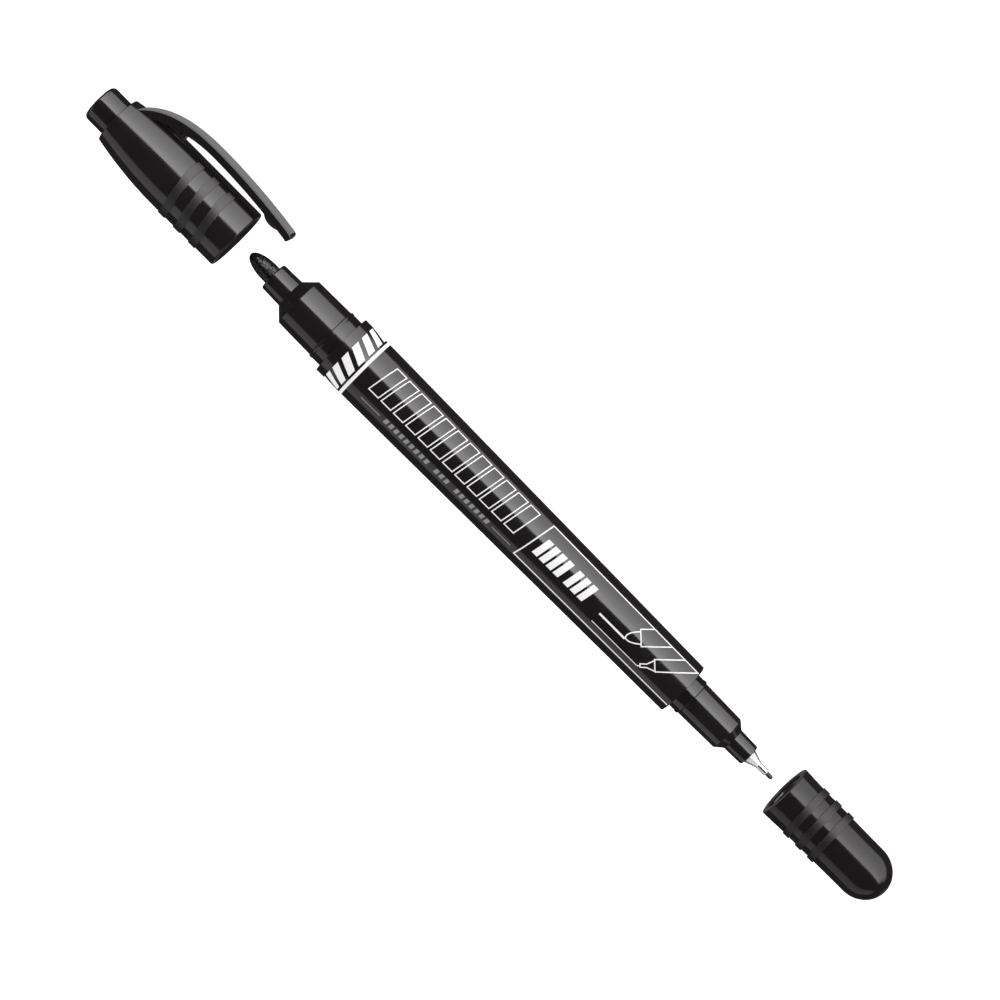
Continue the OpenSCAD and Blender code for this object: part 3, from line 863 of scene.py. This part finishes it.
def make_clip():
    """The sprung arm. Its back is satin, with a painted sheen, as far as its rounded end, and the rest is
    glossy.
    """
    end_round = 0.5
    shares = spread(0, 1, 30) + spread(1, 2, 40)[1:-1]
    rows = [clip_row(clip_outer(t), clip_inner(t)) for t in shares]
    end_from, tip, under = len(rows), clip_outer(2), clip_inner(2)
    rows += [clip_row(tip, under, end_round * (1 - c), end_round * (s - 1)) for s, c in quarter_turn(6)]
    edge = CLIP_EDGE_STEPS + 1
    back_from, back_to = edge + edge // 2, len(rows[0]) - 2 * edge

    def finish_of(row, column):
        return int(row < end_from and back_from <= column <= back_to)

    shape, finishes = capped(rows), [CAP_GLOSS, clip_back()]
    clip = piece("clip_arm", shape, None, finishes, ["cap_clip"], finish_of, BULLET_CAP)
    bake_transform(clip)


def make_clip_bead():
    """The lens-shaped bead that grips the pocket, set in from the clip's sides and sunk into it."""
    middle, length, half_w, fillet = -2.3, 4.4, 2.2, 0.42
    low, chord, top = 6.02, 6.85, 7.1
    depth = chord - low
    bow_r = ((length / 2) ** 2 + depth**2) / (2 * depth)
    reach = math.asin(length / 2 / bow_r)
    rows = []
    for side, turn in ((-1, quarter_turn(6)), (1, reversed(quarter_turn(6)))):
        for s, c in turn:
            r = bow_r - fillet * (1 - s)
            across = side * (half_w - fillet + fillet * c)
            bow = spread(-reach, reach, 24)
            arc = [(middle + r * math.sin(a), low + bow_r - r * math.cos(a)) for a in bow]
            rows.append([(u, across, z) for u, z in arc + [(arc[-1][0], top), (arc[0][0], top)]])
    # Smoother plastic for a sharp rim highlight, which is a real reflection made brighter by a painted
    # highlight: twice the reflectance of the other black parts
    polish = moulded_black("bead_gloss", shine=(0.04, 0.07), level=1.0, wave=0.0002)
    piece("clip_bead", capped(rows), "clip", [polish], end=BULLET_CAP)


def make_web():
    """The fin that ties the clip's root to the cap. Its front edge is hollowed round the gap's end."""
    sunk, hollow, top_from = 0.25, 0.25, 0.62
    half_gap = (clip_inner_height(WEB_AT) - FLAT_HEIGHT) / 2
    loop = [(WEB_AT, FLAT_HEIGHT - sunk)]
    for degrees in spread(-90, 90, 14):
        up, on = polar(1, degrees)
        loop.append((WEB_AT + hollow * on, FLAT_HEIGHT + half_gap + half_gap * up))
    over = [clip_inner(t) for t in spread(top_from, 0.0, 14)]
    loop += [(p.x, p.y + sunk) for p in over if p.x > WEB_AT + 0.2]
    loop += [(CLIP_ROOT - CLIP_ROOT_LENGTH, CLIP_ROOT_HEIGHT - sunk)]
    rows = [[(u, y, z) for u, z in loop] for y in (-WEB_HALF_W, WEB_HALF_W)]
    piece("clip_web", capped(rows), "bullet_cap", [CAP_BORE], end=BULLET_CAP)


def make_web_pip(name, side):
    """A small round mark that stands out of the web's side."""
    u, z, r, out, buried = 18.9, 6.2, 0.24, 0.04, 0.05
    rows = []
    for share, y in ((1, -buried), (1, out / 2), (0.85, out)):
        ring = [polar(r * share, a) for a in spread(0, 360, 24)[:-1]]
        rows.append([(u + a, side * (WEB_HALF_W + y), z + b) for a, b in ring])
    piece(name, capped(rows), "bullet_cap", [CAP_GLOSS], end=BULLET_CAP)


def clip_inner_height(u):
    """Height of the clip's underside over a place between its crest and its root."""
    low, high = 0.0, 1.0
    for _ in range(30):
        t = (low + high) / 2
        if clip_inner(t).x > u:
            low = t
        else:
            high = t
    return clip_inner(low).y


# ---- Fine cap ----

SMALL_CAP_LENGTH = 23.95
SMALL_RING_AT = (5.25, 8.12, 10.99)
SMALL_RING_W = 1.4
SMALL_RING_R = 5.15
SMALL_RING_RISE = 0.2
SMALL_RING_ROOM = 0.95
SMALL_RING_SLANT = 10
SMALL_RING_TURN = 66
SMALL_MOUTH_R = 5.12
SMALL_R = 4.93
DOME_R = 4.83
DOME_LENGTH = 5.2
DOME_AT = SMALL_CAP_LENGTH - DOME_LENGTH


def small_cap_radius(u):
    """Narrows a little to the first ring and a little more to the dome."""
    first = SMALL_RING_AT[0]
    if u < first:
        return SMALL_MOUTH_R + (SMALL_R - SMALL_MOUTH_R) * u / first
    if u < DOME_AT:
        return SMALL_R + (DOME_R - SMALL_R) * smooth((u - first) / (DOME_AT - first))
    return DOME_R * math.sqrt(max(0, 1 - ((u - DOME_AT) / DOME_LENGTH) ** 2))


def slant_at(u, degrees):
    """How far the rings' slant moves a point along the cap."""
    lean = SMALL_R * math.tan(math.radians(SMALL_RING_SLANT))
    slant = -lean * math.cos(math.radians(degrees - SMALL_RING_TURN))
    return slant * fading(u, 0.6, SMALL_RING_AT, SMALL_RING_W, 5)


def small_cap_row(u, rise=0.0):
    """A ring's top keeps one radius all the way round, whatever the cap's own is under it."""
    row = []
    for a in spread(0, 360, SEGMENTS)[:-1]:
        place = u + slant_at(u, a)
        base = small_cap_radius(place)
        row.append((place, *polar(base + rise / SMALL_RING_RISE * (SMALL_RING_R - base), a)))
    return row


def make_small_cap():
    """The smaller cap, in rows from its mouth over the dome and back through its bore."""
    lip, steps, bore_r, groove_r, back_r, start = 0.12, 4, 3.7, 3.84, 3.2, 0.4
    rings_from = SMALL_RING_AT[0] - SMALL_RING_W / 2 - 0.3
    rows = [ring_row(lip - lip * c, SMALL_MOUTH_R - lip + lip * s) for s, c in quarter_turn(5)]
    rows += [small_cap_row(u) for u in spread(start, rings_from, 8)]
    outline = ring_outline(SMALL_RING_RISE, SMALL_RING_W)
    satin = add_rings(rows, small_cap_row, SMALL_RING_AT, SMALL_RING_ROOM, 2, outline)
    rows += [small_cap_row(u) for u in spread(SMALL_RING_AT[-1] + SMALL_RING_ROOM, DOME_AT, 22)]
    rows += [ring_row(DOME_AT + DOME_LENGTH * s, DOME_R * c) for s, c in quarter_turn(30)[1:]]
    inside = [
        (22.35, 0),
        (22.35, 2.3),
        (20.25, back_r),
        (12.2, back_r),
        (12.2, bore_r),
        (0.74, bore_r, 0.02),
        (0.52, groove_r, 0.02),
        (0.3, groove_r, 0.02),
        (0.3, bore_r, 0.02),
        (0, bore_r, 0.08),
        (0, 4.2),
    ]
    bore_from = len(rows)
    rows += [ring_row(u, r) for u, r in rounded(inside, steps=steps)]
    bore_to = len(rows) - (steps + 2)

    def finish_of(row, column):
        if bore_from <= row < bore_to:
            return 2
        return int(row in satin and row + 1 in satin)

    shape, finishes = skin(rows, loop=True), [SMALL_CAP_GLOSS, SMALL_CAP_SATIN, CAP_BORE]
    stands_for = ["fine_cap_shell"]
    piece("small_cap_shell", shape, "fine_cap", finishes, stands_for, finish_of, FINE_CAP)


# ---- Print on the barrel: plain bars, ticks, lines and two simple nib outlines, with no lettering ----

FRONT = 78
PRINT_R = 5.45
INK_LIFT = 0.015
INK_SUNK = 0.02
LEAN = math.tan(math.radians(10))
DIAGONAL = math.sqrt(0.5)
STEP = 0.5
OUTLINE_W = 0.19
FRAME_W = 0.23
ICON_W = 0.21


def ink_point(u, w, lift):
    """u counts from the barrel's wide end, and w round it from the line that faces the camera."""
    x = WIDE_END - u
    return (x, *polar(barrel_radius(x) + lift, FRONT + math.degrees(w / PRINT_R)))


def stepped(path, closed):
    """The path with its long stretches split, so that it follows the barrel's round."""
    stops = list(path) + ([path[0]] if closed else [])
    out = []
    for a, b in zip(stops, stops[1:]):
        a, b = Vector(a), Vector(b)
        count = max(1, math.ceil((b - a).length / STEP))
        out += [a.lerp(b, i / count) for i in range(count)]
    return out if closed else out + [Vector(stops[-1])]


def stroke(path, width, closed=False):
    """A printed line along a path of (u, w) points."""
    path = stepped(path, closed)
    rows = []
    for i, p in enumerate(path):
        before = path[i - 1] if closed or i else p * 2 - path[1]
        after = path[(i + 1) % len(path)] if closed or i < len(path) - 1 else p * 2 - path[i - 1]
        a, b = (p - before).normalized(), (after - p).normalized()
        along = (a + b).normalized()
        across = Vector((-along.y, along.x)) * width / 2 / max(0.4, along.dot(a))
        left, right = p + across, p - across
        outside = [ink_point(*left, INK_LIFT), ink_point(*right, INK_LIFT)]
        rows.append(outside + [ink_point(*right, -INK_SUNK), ink_point(*left, -INK_SUNK)])
    return skin(rows, loop=True) if closed else capped(rows)


def tile(corners):
    """A solid printed patch between four (u, w) corners."""
    a, b, c, d = [Vector(p) for p in corners]
    nu = max(1, math.ceil((b - a).length / STEP))
    nw = max(1, math.ceil((d - a).length / STEP))
    rows = []
    for i in range(nu + 1):
        near, far = a.lerp(b, i / nu), d.lerp(c, i / nu)
        line = [near.lerp(far, j / nw) for j in range(nw + 1)]
        outside = [ink_point(*p, INK_LIFT) for p in line]
        rows.append(outside + [ink_point(*p, -INK_SUNK) for p in reversed(line)])
    return capped(rows)


def bar(u, width, top, bottom):
    """Corners of a leaning bar that starts at u on the front line."""
    return [
        (u - LEAN * top, top),
        (u + width - LEAN * top, top),
        (u + width - LEAN * bottom, bottom),
        (u - LEAN * bottom, bottom),
    ]


def print_piece(name, shapes, ink=WHITE_INK):
    piece(name, joined(shapes), "pen_body", [ink])


def print_band():
    """Slanted bars all the way round by the wide end, over a ring line."""
    around = 2 * math.pi * PRINT_R
    count, start, end, slant, share = 15, 1.85, 4.85, 1.3, 0.62
    pitch = around / count
    bars = []
    for i in range(count):
        near, far = i * pitch, (i + share) * pitch
        bars.append(tile([(start, near), (end, near + slant), (end, far + slant), (start, far)]))
    line_start, line_end = 5.26, 5.86
    rows = []
    for w in spread(0, around, SEGMENTS)[:-1]:
        outside = [ink_point(line_start, w, INK_LIFT), ink_point(line_end, w, INK_LIFT)]
        rows.append(outside + [ink_point(line_end, w, -INK_SUNK), ink_point(line_start, w, -INK_SUNK)])
    print_piece("print_band", [*bars, skin(rows, loop=True)])


def print_outlined_bars():
    """A long even row of outlined bars."""
    start, count, pitch, width, top, bottom = 8.9, 12, 2.87, 2.2, -3.96, 1.78
    bars = [bar(start + i * pitch, width, top, bottom) for i in range(count)]
    print_piece("print_outlined_bars", [stroke(corners, OUTLINE_W, closed=True) for corners in bars])


def print_ticks():
    """A row of small grey ticks, in three groups, between two fine lines."""
    start, count, pitch, width, top, bottom = 14.2, 21, 1.17, 0.72, 3.3, 4.3
    gaps, line_at, line_w = (9, 13), 3.87, 0.17
    first = start + LEAN * top
    shapes = [tile(bar(first + i * pitch, width, top, bottom)) for i in range(count) if i not in gaps]
    shapes += [stroke([(a, line_at), (b, line_at)], line_w) for a, b in ((8.6, 13.0), (39.2, 43.4))]
    print_piece("print_ticks", shapes, GREY_INK)


FRAME_TOP = -4.4
FRAME_BOTTOM = 4.6


def print_frame():
    """A long frame that is open towards the fine end."""
    end, corner = BARREL_LENGTH - 0.25, 45.6
    path = [
        (end, FRAME_TOP),
        (corner - LEAN * FRAME_TOP, FRAME_TOP),
        (corner - LEAN * FRAME_BOTTOM, FRAME_BOTTOM),
        (end, FRAME_BOTTOM),
    ]
    print_piece("print_frame", [stroke(path, FRAME_W)])


def print_solid_bars():
    """Two groups of heavy bars inside the frame."""
    pitch, width, half = 1.62, 1.18, 1.8
    groups = ((47.0, 4), (54.25, 3))
    places = [start + i * pitch for start, count in groups for i in range(count)]
    print_piece("print_solid_bars", [tile(bar(u, width, -half, half)) for u in places])


def icon(tip, outline):
    """A line drawn (along, down) from a nib's tip as it is seen from the front, turned to run slantwise
    up the barrel, and then laid round it."""
    seen = [(tip[0] + DIAGONAL * (a + b), tip[1] + DIAGONAL * (b - a)) for a, b in outline]
    around = [(u, PRINT_R * math.asin(t / PRINT_R)) for u, t in stepped(seen, closed=False)]
    return stroke(around, ICON_W)


def to_frame(tip, down):
    """How far along its own line an icon's side reaches the frame."""
    seen_frame = PRINT_R * math.sin(FRAME_TOP / PRINT_R)
    return down + (tip[1] - seen_frame) / DIAGONAL


def print_icons():
    """What the two ends draw: a broad and a fine line, each under a plain outline of its nib."""
    broad, fine = (67.82, 0.86), (72.45, 2.9)
    lines_from, broad_w, fine_w = 61.85, 0.36, 0.14
    nib_length, nib_half_w = 2.66, 1.05
    nib = [(1 - math.sin(a), math.cos(a)) for a in spread(0, math.pi, 24)]
    shapes = [
        icon(broad, [(nib_length * a, nib_half_w * b - 0.1) for a, b in nib]),
        icon(broad, barrel_outline(broad, nib_length, -1.57, 1.36)),
        icon(fine, [(3, -1), (1.68, -0.36), (0.55, -0.36), (0.55, 0.24), (1.68, 0.24), (3, 0.82)]),
        icon(fine, [(0.55, 0), (0, 0)]),
        icon(fine, barrel_outline(fine, 3.05, -1.22, 0.92)),
        stroke([(lines_from, 1.04), (67.8, 1.04)], broad_w),
        stroke([(lines_from, 3.04), (72.4, 3.04)], fine_w),
    ]
    print_piece("print_icons", shapes)


def barrel_outline(tip, start, top, bottom):
    """The drawn barrel behind a nib: its two sides and the edge that the nib stands out of."""
    return [(to_frame(tip, top), top), (start, top), (start, bottom), (to_frame(tip, bottom), bottom)]


# ---- Carried-over CAD nodes ----


def dress(node, material):
    """Gives a CAD node that stays its procedural material."""
    mesh = frame["nodes"][node].data
    mesh.materials.clear()
    mesh.materials.append(material)


# ---- Stage, light and camera ----

ELEVATION = math.radians(53.2)
VIEW = Vector((0, -math.cos(ELEVATION), math.sin(ELEVATION)))
ACROSS = Vector((0, -math.sin(ELEVATION), -math.cos(ELEVATION)))
AXIS_POINT = PEN @ Vector((0, 0, 0))
SOFTBOX_DISTANCE = 0.6
SOFTBOX_STEPS = 8
SOFTBOX_STATIONS = ((-2.4, 0), (-0.9, 1), (0.9, 1), (2.4, 0))


def make_floor():
    """A plain pale floor. It is left out of the pen's reflections, where it would look like a panel."""
    reach, drop = 6.0, 0.03 * MM
    material = bpy.data.materials.new("floor_paper")
    material.use_nodes = True
    inputs = material.node_tree.nodes["Principled BSDF"].inputs
    inputs["Base Color"].default_value = (0.85, 0.85, 0.85, 1)
    inputs["Roughness"].default_value = 1
    inputs["Specular IOR Level"].default_value = 0
    inputs["Emission Color"].default_value = (1, 1, 1, 1)
    inputs["Emission Strength"].default_value = 0.97
    mesh = bpy.data.meshes.new("floor")
    corners = [(-reach, -reach, 0), (reach, -reach, 0), (reach, reach, 0), (-reach, reach, 0)]
    mesh.from_pydata(corners, [], [(0, 1, 2, 3)])
    mesh.materials.append(material)
    floor = new_object("floor", mesh)
    floor.location.z = -drop
    floor.visible_glossy = False
    floor.visible_shadow = False


def glow_material(name):
    """Light whose strength comes from the mesh's own glow."""
    material = bpy.data.materials.new(name)
    material.use_nodes = True
    tree = material.node_tree
    tree.nodes.clear()
    glow = tree.nodes.new("ShaderNodeAttribute")
    glow.attribute_name = "glow"
    light = tree.nodes.new("ShaderNodeEmission")
    output = tree.nodes.new("ShaderNodeOutputMaterial")
    tree.links.new(glow.outputs["Fac"], light.inputs["Strength"])
    tree.links.new(light.outputs["Emission"], output.inputs["Surface"])
    return material


def make_softbox(name, start, end, glows):
    """A long curved light panel round the pen, between two angles from the camera's direction towards
    the clip side. glows are its brightness at even steps between them, and it fades towards its ends."""
    points, faces, strengths = [], [], []
    size, last = len(SOFTBOX_STATIONS), len(glows) - 1
    count = SOFTBOX_STEPS * last
    for i, degrees in enumerate(spread(start, end, count)):
        towards, on = polar(SOFTBOX_DISTANCE, degrees)
        arm = VIEW * on + ACROSS * towards
        place = i / count * last
        k = min(int(place), last - 1)
        glow = glows[k] + (glows[k + 1] - glows[k]) * (place - k)
        for x, share in SOFTBOX_STATIONS:
            points.append(AXIS_POINT + arm + Vector((x, 0, 0)))
            strengths.append(glow * share)
        if i:
            here = i * size
            faces += [(q - size, q - size + 1, q + 1, q) for q in range(here, here + size - 1)]
    mesh = bpy.data.meshes.new(name)
    mesh.from_pydata(points, [], faces)
    mesh.attributes.new("glow", "FLOAT", "POINT").data.foreach_set("value", strengths)
    mesh.materials.append(glow_material(name))
    panel = new_object(name, mesh)
    panel.visible_camera = False
    panel.visible_diffuse = False
    panel.visible_shadow = False


def make_world():
    """White all round for the camera and for soft light, and nearly dark in reflections."""
    world = bpy.data.worlds.new("studio")
    world.use_nodes = True
    tree = world.node_tree
    tree.nodes.clear()
    bright = tree.nodes.new("ShaderNodeBackground")
    bright.inputs["Strength"].default_value = 1.08
    dark = tree.nodes.new("ShaderNodeBackground")
    dark.inputs["Strength"].default_value = 0.04
    path = tree.nodes.new("ShaderNodeLightPath")
    mix = tree.nodes.new("ShaderNodeMixShader")
    output = tree.nodes.new("ShaderNodeOutputWorld")
    tree.links.new(path.outputs["Is Glossy Ray"], mix.inputs["Fac"])
    tree.links.new(bright.outputs["Background"], mix.inputs[1])
    tree.links.new(dark.outputs["Background"], mix.inputs[2])
    tree.links.new(mix.outputs["Shader"], output.inputs["Surface"])
    bpy.context.scene.world = world


def make_camera():
    """Looks down on the pen, which lies slantwise across the picture."""
    distance, foot, aim, lift, lens, roll = 567, 13.52, -0.98, 0.56, 122.3, 45.2
    place = AXIS_POINT + Vector((foot * MM, 0, 0)) + VIEW * distance * MM
    target = AXIS_POINT + Vector((aim * MM, 0, 0)) + ACROSS * lift * MM
    forward = (target - place).normalized()
    along = Vector((-1, 0, 0))
    along = (along - forward * along.dot(forward)).normalized()
    across = along.cross(forward)
    if across.dot(ACROSS) < 0:
        across = -across
    a = math.radians(roll)
    right = along * math.cos(a) + across * math.sin(a)
    up = across * math.cos(a) - along * math.sin(a)
    data = bpy.data.cameras.new("camera")
    data.lens = lens
    data.sensor_width = 36
    data.clip_start = 0.05
    data.clip_end = 20
    camera = new_object("camera", data)
    matrix = Matrix((right, up, -forward)).transposed().to_4x4()
    matrix.translation = place
    camera.matrix_world = matrix
    bpy.context.scene.camera = camera


def main():
    make_barrel()
    make_bullet_section()
    make_bullet_nib()
    make_fine_section()
    make_fine_sleeve()
    make_fine_nib()
    make_cap_shell()
    make_plug()
    make_clip()
    make_clip_bead()
    make_web()
    make_web_pip("web_pip_near", 1)
    make_web_pip("web_pip_far", -1)
    make_small_cap()
    print_band()
    print_outlined_bars()
    print_ticks()
    print_frame()
    print_solid_bars()
    print_icons()
    dress("ink_reservoir", reservoir_fibre())
    dress("reservoir_wrap", wrap_film())
    dress("fine_inner_cap", soft_liner())
    make_floor()
    make_softbox("main_softbox", 14, 96, [6.6, 4.5, 3.2, 2.2])
    make_softbox("back_softbox", -68, -104, [0.85, 0.85])
    make_softbox("mouth_softbox", 172, 196, [0.15, 0.15])
    make_world()
    make_camera()
    bpy.context.scene.view_settings.view_transform = "Standard"


main()
